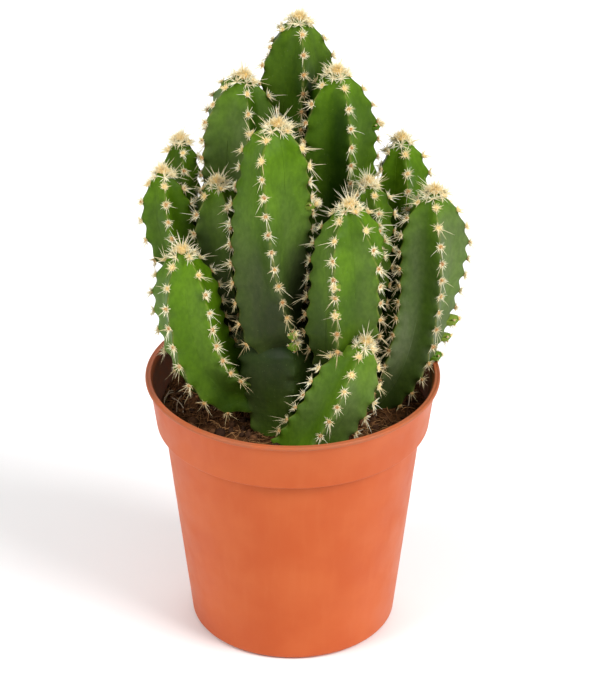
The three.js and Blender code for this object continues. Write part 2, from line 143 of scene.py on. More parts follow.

# Each stem: its axis from the foot over two bends to the tip, the radius at the rib crests, and the turn
# in degrees of its first rib from the front, at the tip. Given where they are not as usual: the number of
# ribs, their twist down to the foot, the dome, the neck, the valleys, the waists left by pauses in growth
# (drop from the tip, depth, spread), and the buds (rib, drop, size, woolly or not). The trunk is an old
# stump, bare of spines.
# Its skin: fresh is how young and bright it is at the tip, aged how far below the tip it is half as fresh,
# bloom_and_sheen how grey it is with wax and with painted sheen, pale the side that the light falls on, in
# degrees from the front towards the right, where that grey is strongest, painted_side_shade how much
# painted shade darkens the other side, clear how far below the tip it is free of wax and painted sheen,
# foot_fresh how much fresher it is again at the foot, and painted_joint_shade how much painted shade
# darkens it where it leaves the trunk.
STEMS = {
    "trunk": dict(
        path=[(-2.5, -13, 66), (-2.5, -13, 84), (-4, -11, 104), (-4, -10, 124)],
        radius=17.3, turn=-59, dome=0.55, neck=0.64, neck_reach=0.8, valley=0.8, bare=True,
        fresh=0.0, bloom_and_sheen=0.4, pale=0, painted_side_shade=0.1, clear=1, foot_fresh=1.3),
    "stem_tall_back": dict(
        path=[(-2, 30, 66), (0, 28, 110), (0, 33, 186), (2.5, 33, 221)],
        radius=14.4, turn=9, fresh=0.5, aged=60, bloom_and_sheen=0.15, pale=65, painted_side_shade=0.5),
    "stem_upper_left": dict(
        path=[(-15, 20, 66), (-22, 24, 104), (-21, 26, 174), (-17, 24, 203)],
        radius=14.8, turn=14, dome=1.4, fresh=0.66, aged=60, bloom_and_sheen=0.6, pale=-40, painted_side_shade=0.9),
    "stem_upper_right": dict(
        path=[(12, 18, 66), (17, 16, 104), (14.5, 18, 178), (15.5, 17, 208)],
        radius=14.4, turn=20, buds=[(1, 21, 1.9, True)],
        fresh=0.68, aged=70, pale=80, painted_side_shade=0.82),
    "stem_middle": dict(
        path=[(-2, -15, 115), (-12.5, -14, 126), (-6, -13, 176), (-5, -12, 201.5)],
        radius=14.2, ribs=4, turn=-34, twist=78, dome=1.15, valley=0.62, neck_reach=0.15,
        waists=[(18, 0.11, 8), (66, 0.07, 20)],
        buds=[(0, 76, 1.8, False), (0, 83, 2.3, False), (1, 28, 2.2, True)],
        fresh=1.1, aged=46, bloom_and_sheen=1.2, pale=15, painted_side_shade=0.6, clear=50),
    "stem_lower_left": dict(
        path=[(-7, -12, 99), (-35, -16, 95), (-37, -16, 132), (-38, -15, 155)],
        radius=12.7, turn=-32, neck=0.6, fresh=0.9, aged=54, bloom_and_sheen=0.3, pale=-70, painted_joint_shade=0.55),
    "stem_front_right": dict(
        path=[(15, -18, 113), (17.5, -21, 125), (21, -21, 155), (19.5, -20, 175)],
        radius=13.8, turn=-40, twist=44, neck=0.65, neck_reach=0.25,
        buds=[(0, 25, 2, True), (0, 35, 1.9, True)],
        fresh=0.85, bloom_and_sheen=0.55, painted_side_shade=0.1),
    "stem_low_right": dict(
        path=[(0, -26, 80), (10, -29, 90), (19, -29, 110), (25, -29, 127)],
        radius=11.9, turn=-11, twist=4, neck=0.9, fresh=1.3, aged=55, bloom_and_sheen=0.6, pale=40, painted_side_shade=0.12),
    "stem_far_right": dict(
        path=[(18, 2, 76), (42, 4, 94), (49.5, 4, 130), (49.3, 3, 169)],
        radius=13.2, turn=0, twist=60, neck_reach=0.4, waists=[(42, 0.05, 12)],
        buds=[(1, 50, 2, False), (1, 57, 1.6, False), (1, 65, 1.9, False), (1, 75, 1.7, False)],
        fresh=0.9, aged=75, bloom_and_sheen=1.0, pale=50, painted_side_shade=0.35),
    "stem_left_middle": dict(
        path=[(-19, 8, 114), (-27, 3, 130), (-25, 4, 153), (-26, 4, 172)],
        radius=11, turn=-50, fresh=0.52, bloom_and_sheen=0.7, painted_side_shade=0.3),
    "stem_right_rear": dict(
        path=[(29, 12, 109), (39, 20, 137), (39, 22, 160), (38, 22, 180)],
        radius=9.8, turn=12, fresh=0.8, bloom_and_sheen=0.0, pale=60, painted_side_shade=0.3),
    "stem_right_middle": dict(
        path=[(21, -4, 106), (25, -4, 128), (29, -1, 152), (26, 0, 174)],
        radius=8.2, turn=20, fresh=0.5, aged=40, bloom_and_sheen=0.3),
    "stem_far_left": dict(
        path=[(-31, 2, 138), (-41, 3, 143), (-45, 5, 155), (-45, 6, 175)],
        radius=9.7, turn=8, fresh=0.7, bloom_and_sheen=0.25, painted_side_shade=0.2),
    "stem_left_rear": dict(
        path=[(-22, 16, 100), (-40, 18, 120), (-40, 20, 161), (-39, 20, 181)],
        radius=7.2, turn=10, fresh=0.5, bloom_and_sheen=0.2, painted_side_shade=0.3),
}

# ---- Camera, as the photograph was taken: its angle over the horizon, distance, aim and lens
CAMERA_ELEVATION = math.radians(29.24)
CAMERA_DISTANCE = 1.2
CAMERA_AIM = (0.00256, 0.0, 0.111)
SENSOR = 36.0
FRAME_HEIGHT_PX = 683
FOCAL_PX = 3389.6

# ---- Light: azimuth from the front towards the right, elevation and spread, all in degrees, and strength
SKY_STRENGTH = 0.17
LIGHTS = {
    "key": (58, 40, 30, 2.7),
    "fill": (-62, 40, 30, 1.5),
    "top": (0, 75, 50, 0.65),
    "back": (172, 50, 50, 0.9),
}
FLOOR_REACH = 3.0

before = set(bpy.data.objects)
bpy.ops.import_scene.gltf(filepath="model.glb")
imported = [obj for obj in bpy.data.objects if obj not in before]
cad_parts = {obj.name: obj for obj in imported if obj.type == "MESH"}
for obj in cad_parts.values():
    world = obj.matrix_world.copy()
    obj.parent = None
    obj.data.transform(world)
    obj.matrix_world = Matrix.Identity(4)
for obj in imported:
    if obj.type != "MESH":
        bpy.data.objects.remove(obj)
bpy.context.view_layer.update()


# ---- Camera, floor and light


def make_camera():
    data = bpy.data.cameras.new("camera")
    data.sensor_fit = "AUTO"
    data.sensor_width = SENSOR
    data.lens = FOCAL_PX * SENSOR / FRAME_HEIGHT_PX
    camera = bpy.data.objects.new("camera", data)
    forward = Vector((0, math.cos(CAMERA_ELEVATION), -math.sin(CAMERA_ELEVATION)))
    camera.location = Vector(CAMERA_AIM) - forward * CAMERA_DISTANCE
    camera.rotation_euler = forward.to_track_quat("-Z", "Y").to_euler()
    bpy.context.scene.collection.objects.link(camera)
    bpy.context.scene.camera = camera


def soft_light(name, azimuth, elevation, spread, strength):
    """A wide, far soft light."""
    data = bpy.data.lights.new(name, "SUN")
    data.angle = math.radians(spread)
    data.energy = strength
    light = bpy.data.objects.new(name, data)
    light.rotation_euler = (math.radians(90 - elevation), 0, math.radians(azimuth))
    bpy.context.scene.collection.objects.link(light)


def light_studio():
    world = bpy.data.worlds.new("studio")
    world.use_nodes = True
    world.node_tree.nodes["Background"].inputs["Color"].default_value = (1, 1, 1, 1)
    world.node_tree.nodes["Background"].inputs["Strength"].default_value = SKY_STRENGTH
    bpy.context.scene.world = world
    bpy.context.scene.view_settings.view_transform = "Standard"
    for name, setting in LIGHTS.items():
        soft_light(name, *setting)


def make_floor():
    corners = [(x * FLOOR_REACH, y * FLOOR_REACH, 0) for x, y in ((-1, -1), (1, -1), (1, 1), (-1, 1))]
    floor = mesh_object("floor", floor_material(), corners, [(0, 1, 2, 3)])


# ---- Mesh building


def set_attributes(mesh, attributes):
    """Gives the mesh attributes of one number for each vertex."""
    for key, values in attributes.items():
        layer = mesh.attributes.new(key, "FLOAT", "POINT")
        layer.data.foreach_set("value", np.asarray(values, np.float32))


def mesh_object(name, material, vertices, faces, attributes=None):
    """A mesh object, in metres."""
    mesh = bpy.data.meshes.new(name)
    mesh.from_pydata([tuple(v) for v in vertices], [], [tuple(f) for f in faces])
    set_attributes(mesh, attributes or {})
    mesh.polygons.foreach_set("use_smooth", [True] * len(mesh.polygons))
    mesh.materials.append(material)
    mesh.update()
    thing = bpy.data.objects.new(name, mesh)
    bpy.context.scene.collection.objects.link(thing)
    return thing


def add_piece(name, material, shape, replaces=()):
    """A piece of the object. Its shape is vertices, faces and any attributes."""
    piece = mesh_object(name, material, *shape)
    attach(piece, "root")
    if replaces:
        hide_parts(*replaces)
    return piece


def grid_faces(rows, columns, start=0):
    """Quads between the closed rings of a grid, which face out where the rings run upward."""
    row = np.arange(rows - 1)[:, None] * columns
    here = np.arange(columns)[None, :]
    after = (here + 1) % columns
    quads = np.stack([row + here, row + after, row + columns + after, row + columns + here], -1)
    return (quads.reshape(-1, 4) + start).tolist()


def closed_faces(rows, columns, foot, top, start=0):
    """The faces of such a grid with a fan to one vertex at its foot and to one at its top."""
    last = start + (rows - 1) * columns
    faces = grid_faces(rows, columns, start)
    faces += [(foot, start + (i + 1) % columns, start + i) for i in range(columns)]
    faces += [(top, last + i, last + (i + 1) % columns) for i in range(columns)]
    return faces


def shifted(faces, start):
    """The same faces for vertices that begin at start."""
    return [tuple(index + start for index in face) for face in faces]


def lump(rings, sides):
    """A closed unit lump of rings (radius, height), the first and the last of which are one point."""
    points = []
    for radius, height in rings:
        for i in range(sides if radius else 1):
            angle = math.tau * i / sides
            points.append((radius * math.cos(angle), radius * math.sin(angle), height))
    return np.array(points), closed_faces(len(rings) - 2, sides, 0, len(points) - 1, 1)


def uneven(points, centre, axes, limits, draw):
    """Points of a unit lump stretched along three axes, each moved in or out by a random share."""
    return centre + (points @ axes) * draw.uniform(*limits, len(points))[:, None]


def unit(vectors):
    return vectors / np.maximum(np.linalg.norm(vectors, axis=-1, keepdims=True), 1e-12)


def strands(paths, radii, sides):
    """Tubes along paths (strand, point, xyz) with radii (strand, point) that end in a point: vertices,
    faces and the share of each vertex along its strand."""
    count, points = paths.shape[:2]
    tangent = unit(np.gradient(paths, axis=1))
    guide = np.where(np.abs(tangent[:, :1, 2:]) < 0.8, [0.0, 0.0, 1.0], [1.0, 0.0, 0.0])
    across = unit(np.cross(tangent, np.broadcast_to(guide, tangent.shape)))
    beside = np.cross(tangent, across)
    angle = math.tau * np.arange(sides) / sides
    circle = np.cos(angle)[:, None] * across[:, :, None] + np.sin(angle)[:, None] * beside[:, :, None]
    rings = paths[:, :, None] + circle * radii[:, :, None, None]
    body = rings[:, :-1].reshape(count, -1, 3)
    vertices = np.concatenate([body, paths[:, -1:]], axis=1)
    size = vertices.shape[1]
    tip = size - 1
    last = (points - 2) * sides
    pattern = [f[::-1] for f in grid_faces(points - 1, sides)]
    pattern += [(last + (i + 1) % sides, last + i, tip) for i in range(sides)]
    pattern.append(tuple(range(sides)))
    faces = []
    for strand in range(count):
        faces += shifted(pattern, strand * size)
    along = np.repeat(np.linspace(0, 1, points)[:-1], sides)
    shares = np.tile(np.append(along, 1.0), count)
    return vertices.reshape(-1, 3), faces, shares


def turned(profile, sides):
    """A solid of revolution about +Z. Its profile of (radius, height) in millimetres starts and ends on the
    axis."""
    angle = math.tau * np.arange(sides) / sides
    rings = np.array(profile[1:-1], float)
    heights = np.repeat(rings[:, 1:], sides, 1)
    ring_points = np.stack([rings[:, :1] * np.cos(angle), rings[:, :1] * np.sin(angle), heights], -1)
    ends = [(0, 0, profile[0][1]), (0, 0, profile[-1][1])]
    vertices = np.concatenate([ring_points.reshape(-1, 3), ends]) * MM
    foot = len(rings) * sides
    return vertices, closed_faces(len(rings), sides, foot, foot + 1)


# ---- Materials


class Nodes:
    """A short way to wire a material's nodes."""

    def __init__(self, name):
        self.material = bpy.data.materials.new(name)
        self.material.use_nodes = True
        self.tree = self.material.node_tree
        self.shader = self.tree.nodes["Principled BSDF"]
        self.place = self.new("ShaderNodeTexCoord").outputs["Object"]

    def new(self, kind, **settings):
        node = self.tree.nodes.new(kind)
        for key, value in settings.items():
            setattr(node, key, value)
        return node

    def link(self, value, socket):
        """Joins an output to a socket, or sets the socket to a plain value."""
        if isinstance(value, bpy.types.NodeSocket):
            self.tree.links.new(value, socket)
        else:
            socket.default_value = value

    def attribute(self, name):
        return self.new("ShaderNodeAttribute", attribute_name=name).outputs["Fac"]

    def noise(self, size_mm, detail=3.0, stretch=(1, 1, 1), distortion=0.0):
        """Noise between 0 and 1 whose features are about size_mm wide."""
        mapping = self.new("ShaderNodeMapping")
        self.link(self.place, mapping.inputs["Vector"])
        mapping.inputs["Scale"].default_value = stretch
        texture = self.new("ShaderNodeTexNoise")
        self.link(mapping.outputs["Vector"], texture.inputs["Vector"])
        texture.inputs["Scale"].default_value = 1 / (size_mm * MM)
        texture.inputs["Detail"].default_value = detail
        texture.inputs["Distortion"].default_value = distortion
        return texture.outputs["Fac"]

    def math(self, operation, first, second=0.0):
        node = self.new("ShaderNodeMath", operation=operation)
        self.link(first, node.inputs[0])
        self.link(second, node.inputs[1])
        return node.outputs["Value"]

    def times(self, first, second):
        return self.math("MULTIPLY", first, second)

    def ranged(self, value, low, high, to_low=0.0, to_high=1.0):
        node = self.new("ShaderNodeMapRange", interpolation_type="SMOOTHSTEP")
        self.link(value, node.inputs["Value"])
        for name, number in zip(("From Min", "From Max", "To Min", "To Max"), (low, high, to_low, to_high)):
            node.inputs[name].default_value = number
        return node.outputs["Result"]

    def mix(self, factor, first, second):
        node = self.new("ShaderNodeMix", data_type="RGBA")
        self.link(factor, node.inputs["Factor"])
        for value, socket in ((first, node.inputs[6]), (second, node.inputs[7])):
            self.link(value if isinstance(value, bpy.types.NodeSocket) else (*value, 1.0), socket)
        return node.outputs[2]

    def bump(self, height, distance_mm, strength=1.0, normal=None):
        node = self.new("ShaderNodeBump")
        node.inputs["Strength"].default_value = strength
        node.inputs["Distance"].default_value = distance_mm * MM
        self.link(height, node.inputs["Height"])
        if normal is not None:
            self.link(normal, node.inputs["Normal"])
        return node.outputs["Normal"]

    def finish(self, color, roughness, normal=None, specular=0.5):
        self.link(color, self.shader.inputs["Base Color"])
        self.link(roughness, self.shader.inputs["Roughness"])
        if normal is not None:
            self.link(normal, self.shader.inputs["Normal"])
        self.shader.inputs["Specular IOR Level"].default_value = specular
        return self.material


def floor_material():
    n = Nodes("floor")
    grain = n.noise(40, 4)
    color = n.mix(grain, (0.93, 0.93, 0.93), (0.96, 0.96, 0.96))
    return n.finish(color, 0.9)


def pot_material():
    """Moulded terracotta-orange plastic: a satin skin with faint mottling, and a darker brown inside,
    partly soil stains and partly painted shade.
    """
    n = Nodes("pot_plastic")
    mottle = n.noise(22, 4)
    color = n.mix(n.ranged(mottle, 0.3, 0.7), (0.53, 0.096, 0.020), (0.575, 0.120, 0.029))
    streaks = n.ranged(n.noise(3, 4, stretch=(1, 1, 0.12)), 0.45, 0.8)
    color = n.mix(n.times(streaks, 0.15), color, (0.63, 0.165, 0.05))
    specks = n.ranged(n.noise(0.7, 2), 0.68, 0.76)
    color = n.mix(n.times(specks, 0.2), color, (0.45, 0.08, 0.02))
    # The inside is painted darker brown: partly soil stains, partly painted shade within the pot.
    inside_stain_and_shade = n.ranged(n.noise(2.5, 5), 0.25, 0.6, 0.75, 1.0)
    color = n.mix(n.times(n.attribute("inside"), inside_stain_and_shade), color, (0.28, 0.125, 0.085))
    scuffs = n.ranged(n.noise(6, 4), 0.3, 0.6, 0.45, 0.85)
    color = n.mix(n.times(n.attribute("lip"), scuffs), color, (0.40, 0.125, 0.055))
    roughness = n.ranged(n.noise(9, 4), 0.3, 0.75, 0.38, 0.5)
    grain = n.bump(n.noise(0.6, 3), 0.03, 0.35)
    waves = n.bump(n.noise(14, 2), 0.25, 0.25, grain)
    return n.finish(color, roughness, waves, specular=0.18)


def flesh_material():
    """Waxy skin: bright when young, dark when old, grey with wax and painted sheen, darkened by painted
    shade, and with a faint line on the crests.
    """
    n = Nodes("flesh")
    crest = n.attribute("crest")
    fresh = n.attribute("fresh")
    wax_and_sheen = n.attribute("bloom_and_sheen")
    painted_shade = n.attribute("painted_shade")
    patches = n.noise(10, 3, stretch=(1, 1, 0.6), distortion=0.3)
    young = n.mix(n.ranged(patches, 0.35, 0.65), (0.076, 0.168, 0.002), (0.112, 0.234, 0.004))
    old = n.mix(n.ranged(patches, 0.35, 0.65), (0.016, 0.026, 0.002), (0.027, 0.042, 0.003))
    patchy = n.times(n.math("SUBTRACT", patches, 0.5), 0.3)
    age = n.ranged(n.math("ADD", fresh, patchy), 0.05, 1.0)
    color = n.mix(age, old, young)
    # The grey of wax, which also serves as painted sheen on the lit side.
    wax_and_sheen_grey = n.mix(age, (0.048, 0.047, 0.029), (0.140, 0.180, 0.074))
    streaks = n.ranged(n.noise(9, 3, stretch=(1, 1, 0.3)), 0.35, 0.65, 0.55, 1.0)
    color = n.mix(n.times(wax_and_sheen, streaks), color, wax_and_sheen_grey)
    # Painted shade: mixes the skin towards near black green.
    color = n.mix(painted_shade, color, (0.0, 0.012, 0.0))
    grain = n.ranged(n.noise(1.3, 4, stretch=(1, 1, 0.6)), 0.3, 0.7, 0.0, 1.0)
    color = n.mix(n.times(grain, 0.4), color, n.mix(0.5, color, (0.0, 0.02, 0.0)))
    specks = n.ranged(n.noise(0.6, 2), 0.68, 0.75)
    color = n.mix(n.times(specks, 0.3), color, (0.18, 0.23, 0.09))
    bud = n.mix(n.ranged(patches, 0.4, 0.6), (0.09, 0.19, 0.01), (0.19, 0.27, 0.03))
    color = n.mix(n.ranged(fresh, 1.3, 1.6), color, bud)
    edge = n.times(n.ranged(crest, 0.45, 1.0), n.ranged(n.noise(1.2, 3), 0.35, 0.65, 0.05, 0.5))
    edge = n.times(edge, n.ranged(fresh, 0.0, 0.7, 0.3, 1.0))
    color = n.mix(edge, color, (0.22, 0.21, 0.05))
    dull = n.ranged(fresh, 0.0, 0.3, 0.3, 0.0)
    roughness = n.math("ADD", n.ranged(patches, 0.3, 0.7, 0.42, 0.56), dull)
    pores = n.bump(n.noise(0.35, 3), 0.03, 0.3)
    ripples = n.bump(n.noise(4.5, 3, stretch=(1, 1, 2.2)), 0.4, 0.35, pores)
    return n.finish(color, roughness, ripples, specular=0.12)


def spine_material():
    """Horny spines: cream, darker at the root on old cushions, with a tan point."""
    n = Nodes("spines")
    along = n.attribute("along")
    tone = n.attribute("tone")
    fresh = n.attribute("fresh")
    pale = n.mix(tone, (0.84, 0.60, 0.21), (1.0, 0.98, 0.77))
    worn = n.mix(tone, (0.25, 0.14, 0.04), (0.78, 0.64, 0.34))
    color = n.mix(n.ranged(fresh, 0.1, 0.5), worn, pale)
    color = n.mix(n.times(n.ranged(fresh, 0.9, 1.0), 0.35), color, (0.95, 0.72, 0.28))
    root = n.times(n.ranged(along, 0.25, 0.0), 0.2)
    color = n.mix(root, color, (0.62, 0.36, 0.10))
    point = n.times(n.ranged(along, 0.8, 1.0), 0.15)
    color = n.mix(point, color, (0.60, 0.40, 0.16))
    return n.finish(color, 0.4, specular=0.45)


def cushion_material():
    """The felt of the spine cushions: tan to orange-brown, golden on young ones."""
    n = Nodes("wool")
    fresh = n.attribute("fresh")
    tone = n.attribute("tone")
    fuzz = n.noise(0.35, 4)
    tan = n.mix(tone, (0.36, 0.13, 0.03), (0.62, 0.33, 0.10))
    golden = n.mix(tone, (0.74, 0.48, 0.14), (0.86, 0.66, 0.28))
    color = n.mix(n.ranged(fresh, 0.7, 1.0), tan, golden)
    color = n.mix(n.ranged(fuzz, 0.45, 0.65, 0.0, 0.7), color, (0.84, 0.66, 0.34))
    return n.finish(color, 0.9, n.bump(fuzz, 0.25, 0.9), specular=0.2)


def soil_material():
    """Dark brown peat with paler crumbs and threads in it."""
    n = Nodes("peat")
    coarse = n.noise(5, 5)
    fine = n.noise(0.9, 5)
    color = n.mix(n.ranged(coarse, 0.35, 0.65), (0.040, 0.016, 0.007), (0.115, 0.048, 0.018))
    color = n.mix(n.ranged(fine, 0.5, 0.72), color, (0.190, 0.080, 0.028))
    threads = n.ranged(n.noise(1.1, 3, stretch=(0.25, 1, 1), distortion=1.5), 0.62, 0.7)
    color = n.mix(n.times(threads, 0.5), color, (0.26, 0.11, 0.036))
    rough = n.bump(fine, 0.8, 1.0)
    return n.finish(color, 0.95, n.bump(n.noise(0.35, 3), 0.25, 0.8, rough), specular=0.05)


def litter_material(name, dark, pale):
    """Crumbs, fibres and roots on the soil, each toned by its own number."""
    n = Nodes(name)
    tone = n.attribute("tone")
    color = n.mix(tone, dark, pale)
    color = n.mix(n.ranged(n.noise(0.8, 4), 0.4, 0.7, 0.0, 0.45), color, tuple(0.45 * c for c in dark))
    return n.finish(color, 0.9, n.bump(n.noise(0.3, 3), 0.15, 0.7), specular=0.2)


# ---- Stems


def section(across, valley, half):
    """A stem's radius as a share of that at the crest, from the crest (across 0) to the valley (across 1):
    a straight face, a little rounded at both ends."""
    bent = np.hypot(across, CREST_ROUNDING) - np.hypot(1 - across, VALLEY_ROUNDING) - across
    start = CREST_ROUNDING - math.hypot(1, VALLEY_ROUNDING)
    end = math.hypot(1, CREST_ROUNDING) - VALLEY_ROUNDING - 1
    angle = half * (bent - start) / (end - start)
    slope = (1 / valley - math.cos(half)) / math.sin(half)
    return 1 / (np.cos(angle) + slope * np.sin(angle))


class Stem:
    """A ribbed stem laid along a cubic curve. Distances are in metres from the tip along the axis."""

    def __init__(self, path, radius, turn, ribs=RIBS, twist=0, dome=1.5, neck=0.55, neck_reach=0.3,
                 valley=0.64, waists=(), buds=(), bare=False, fresh=0.5, aged=45, bloom_and_sheen=0.1, pale=-60,
                 painted_side_shade=0.0, clear=8, foot_fresh=0.0, painted_joint_shade=0.0):
        self.points = np.array(path, float) * MM
        self.radius = radius * MM
        self.ribs = ribs
        self.rib_step = math.tau / ribs
        self.turn = math.radians(turn)
        self.twist = math.radians(twist)
        self.dome = dome * self.radius
        self.neck = neck
        self.neck_reach = neck_reach
        self.valley = valley
        self.waists = waists
        self.buds = buds
        self.bare = bare
        self.fresh = fresh
        self.aged = aged * MM
        self.bloom_and_sheen = bloom_and_sheen
        self.pale = math.radians(pale)
        self.painted_side_shade = painted_side_shade
        self.clear = clear * MM
        self.foot_fresh = foot_fresh
        self.painted_joint_shade = painted_joint_shade
        self.shares = np.linspace(0, 1, AXIS_SAMPLES)
        steps = np.linalg.norm(np.diff(self.place(self.shares), axis=0), axis=1)
        self.run = np.concatenate([[0.0], np.cumsum(steps)])
        self.length = self.run[-1]
        self.phase = np.arange(ribs) * 2.4 + radius

    def place(self, share):
        t = share[:, None]
        a, b, c, d = self.points
        return (1 - t) ** 3 * a + 3 * (1 - t) ** 2 * t * b + 3 * (1 - t) * t**2 * c + t**3 * d

    def axis(self, distance):
        """Centre, tangent towards the tip, front and side directions at each distance."""
        share = np.interp(self.length - distance, self.run, self.shares)
        t = share[:, None]
        a, b, c, d = self.points
        tangent = unit((1 - t) ** 2 * (b - a) + 2 * (1 - t) * t * (c - b) + t**2 * (d - c))
        front = unit(np.array([0.0, -1.0, 0.0]) + tangent * tangent[:, 1:2])
        return self.place(share), tangent, front, np.cross(tangent, front)

    def tip(self):
        """Centre, tangent, front and side direction at the tip."""
        return [values[0] for values in self.axis(np.zeros(1))]

    def crest_radius(self, distance):
        """The radius at the rib crests: a dome at the tip, a neck at the foot, and any waists between."""
        rise = 1 - np.clip(distance / self.dome, 0, 1)
        dome = (1 - rise**DOME_POWER) ** (1 / DOME_POWER)
        s = np.clip((self.length - distance) / (self.neck_reach * self.length), 0, 1)
        neck = self.neck + (1 - self.neck) * s * s * (3 - 2 * s)
        radius = self.radius * dome * neck
        for drop, depth, spread in self.waists:
            radius = radius * (1 - depth * near(distance / MM - drop, spread))
        return radius

    def rows(self):
        """Distances of the rows: close together at the tip, then evenly spaced to the foot."""
        count = 2 * round((self.length / MM / ROW_SPACING + 2) / 2)
        row = np.arange(count + 1)
        spaced = row**2 / (row + 2)
        return self.length * spaced / spaced[-1]

    def cushions(self, rib):
        """Every second row of a rib carries a spine cushion; the rows between them are notches."""
        rows = self.rows()
        first = 2 if rib % 2 == 0 else 1
        return rows[first:-1:2]

    def notch(self, distance, rib):
        """How deep the crest is cut at each distance: 0 at a cushion, deepest soon below it."""
        stops = np.concatenate([[0.0], self.cushions(rib), [self.length]])
        index = np.clip(np.searchsorted(stops, distance, side="right") - 1, 0, len(stops) - 2)
        share = (distance - stops[index]) / (stops[index + 1] - stops[index])
        depth = NOTCH_DEPTH * MM * self.crest_radius(distance) / self.radius
        return depth * (1 - np.cos(math.tau * np.clip(share, 0, 1) ** NOTCH_PLACE)) / 2

    def rib_angle(self, rib, distance):
        """A rib's angle from the front, with a slight natural wander."""
        wander = RIB_WANDER * np.sin(distance / (RIB_WANDER_LENGTH * MM) + self.phase[rib])
        return self.turn + self.twist * distance / self.length + rib * self.rib_step + wander

    def surface(self, distance, rib, s):
        """Points on the skin, their radial directions and the axis's. s is -1 and 1 in a rib's valleys."""
        centre, tangent, front, side = self.axis(distance)
        angle = self.rib_angle(rib, distance) + s * self.rib_step / 2
        out = front * np.cos(angle)[:, None] + side * np.sin(angle)[:, None]
        radius = self.crest_radius(distance) * section(np.abs(s), self.valley, self.rib_step / 2)
        radius = radius - self.notch(distance, rib) * near(s, NOTCH_WIDTH)
        return centre + out * radius[:, None], out, tangent

    def inside(self, points, margin):
        """True for each point that is more than margin under the skin."""
        distance = np.linspace(0, self.length, 120)
        centre, tangent, front, side = self.axis(distance)
        spot = np.linalg.norm(points[:, None] - centre[None], axis=2).argmin(1)
        offset = points - centre[spot]
        along, x, y = ((offset * way[spot]).sum(1) for way in (tangent, front, side))
        half = self.rib_step / 2
        angle = (np.arctan2(y, x) - self.turn - self.twist * distance[spot] / self.length) % (2 * half)
        s = np.minimum(angle, 2 * half - angle) / half
        reach = self.crest_radius(distance[spot]) * section(s, self.valley, half)
        return (np.hypot(x, y) < reach - margin) & (np.abs(along) < 4 * MM)


def near(distance, reach):
    """1 at distance 0, falling off smoothly over reach."""
    return np.exp(-((distance / reach) ** 2))


def skin(stem):
    """The stem's skin: vertices, faces and what its material needs to know at each vertex."""
    dome = stem.dome * (np.arange(1, DOME_ROWS + 1) / DOME_ROWS) ** DOME_POWER
    dome = dome[dome < stem.length]
    below = np.arange(dome[-1], stem.length, ROW_STEP * MM)[1:]
    distances = np.concatenate([dome, below, [stem.length]])[::-1]
    u = np.linspace(-1, 1, POINTS_PER_RIB + 1)[:-1]
    s_values = u - CROWDING * np.sin(math.tau * u)
    columns = []
    for rib in range(stem.ribs):
        columns += [stem.surface(distances, rib, np.full(len(distances), s))[0] for s in s_values]
    line = np.zeros_like(s_values) if stem.bare else near(s_values, CREST_LINE)
    rings = np.stack(columns, axis=1)
    level = np.roll(rings, -1, axis=1) - np.roll(rings, 1, axis=1)
    facing = unit(np.cross(level, np.gradient(rings, axis=0)))
    # How much each point faces the side that the light falls on (pale).
    pale = facing[..., 0] * math.sin(stem.pale) - facing[..., 1] * math.cos(stem.pale)
    below_tip = distances[:, None]
    above_foot = stem.length - below_tip
    lower = np.clip(above_foot / (0.4 * stem.length), 0.25, 1)
    # Grey of wax, and painted sheen: strongest on the lit side, less low down and near the tip.
    bloom_and_sheen = stem.bloom_and_sheen * (1 - near(below_tip, stem.clear)) * lower * np.clip(0.3 + 0.8 * pale, 0.05, 1)
    # Painted shade on the side away from the light, from a little below the tip.
    painted_shade = stem.painted_side_shade * (1 - near(below_tip, SHADE_REACH * MM)) * np.clip(0.6 - 0.7 * pale, 0, 1)
    # Painted shade where the stem leaves the trunk.
    painted_shade = painted_shade + stem.painted_joint_shade * near(above_foot, JOINT_SHADE_REACH * MM)
    # Painted shade on the stump's top, under the stems that leave it.
    if stem.bare:
        painted_shade = painted_shade + STUMP_SHADE * near(below_tip, STUMP_SHADE_REACH * MM)
    rows, sides = rings.shape[:2]
    ends = stem.axis(np.array([0.0, stem.length]))[0]
    vertices = np.concatenate([rings.reshape(-1, 3), ends])
    faces = closed_faces(rows, sides, rows * sides + 1, rows * sides)
    youth = 1 / (1 + (distances / stem.aged) ** 4)
    fresh = stem.fresh * (OLD_FRESHNESS + (1 - OLD_FRESHNESS) * youth)
    fresh = fresh + TIP_FRESHNESS * np.exp(-distances / (TIP_REACH * MM))
    fresh = fresh + stem.foot_fresh * np.exp(-(stem.length - distances) / (FOOT_FRESH_REACH * MM))
    at_ends = [fresh[-1], fresh[0]]
    attributes = {
        "crest": np.append(np.tile(line, rows * stem.ribs), [0, 0]),
        "bloom_and_sheen": np.append(bloom_and_sheen, [0, 0]),
        "painted_shade": np.append(painted_shade, [0, 0]),
        "fresh": np.append(np.repeat(fresh, sides), at_ends),
    }
    return vertices, faces, attributes


def cushion_places(stem):
    """Root, outward normal, direction up the rib and freshness, from 0 to 1, of each cushion."""
    places = []
    for rib in range(stem.ribs):
        distance = stem.cushions(rib)
        root, out, tangent = stem.surface(distance, rib, np.zeros(len(distance)))
        step = 0.4 * MM
        higher = np.maximum(distance - step, 0)
        slope = (stem.crest_radius(distance + step) - stem.crest_radius(higher)) / (2 * step)
        normal = unit(out + tangent * np.clip(slope, -0.5, 4)[:, None])
        up = unit(tangent - normal * (tangent * normal).sum(1)[:, None])
        # Cushions that face in towards the middle of the clump get browner and sparser spines.
        inward = np.clip(-1.2 * (unit(root[:, :2]) * unit(normal[:, :2])).sum(1), 0, 1)
        fresh = 0.75 * stem.fresh * (1 - distance / stem.length) * (1 - 0.6 * inward)
        fresh = np.clip(np.exp(-distance / (YOUNG_CUSHIONS_REACH * MM)) + fresh, 0, 1)
        places += list(zip(root, normal, up, fresh))
    return places


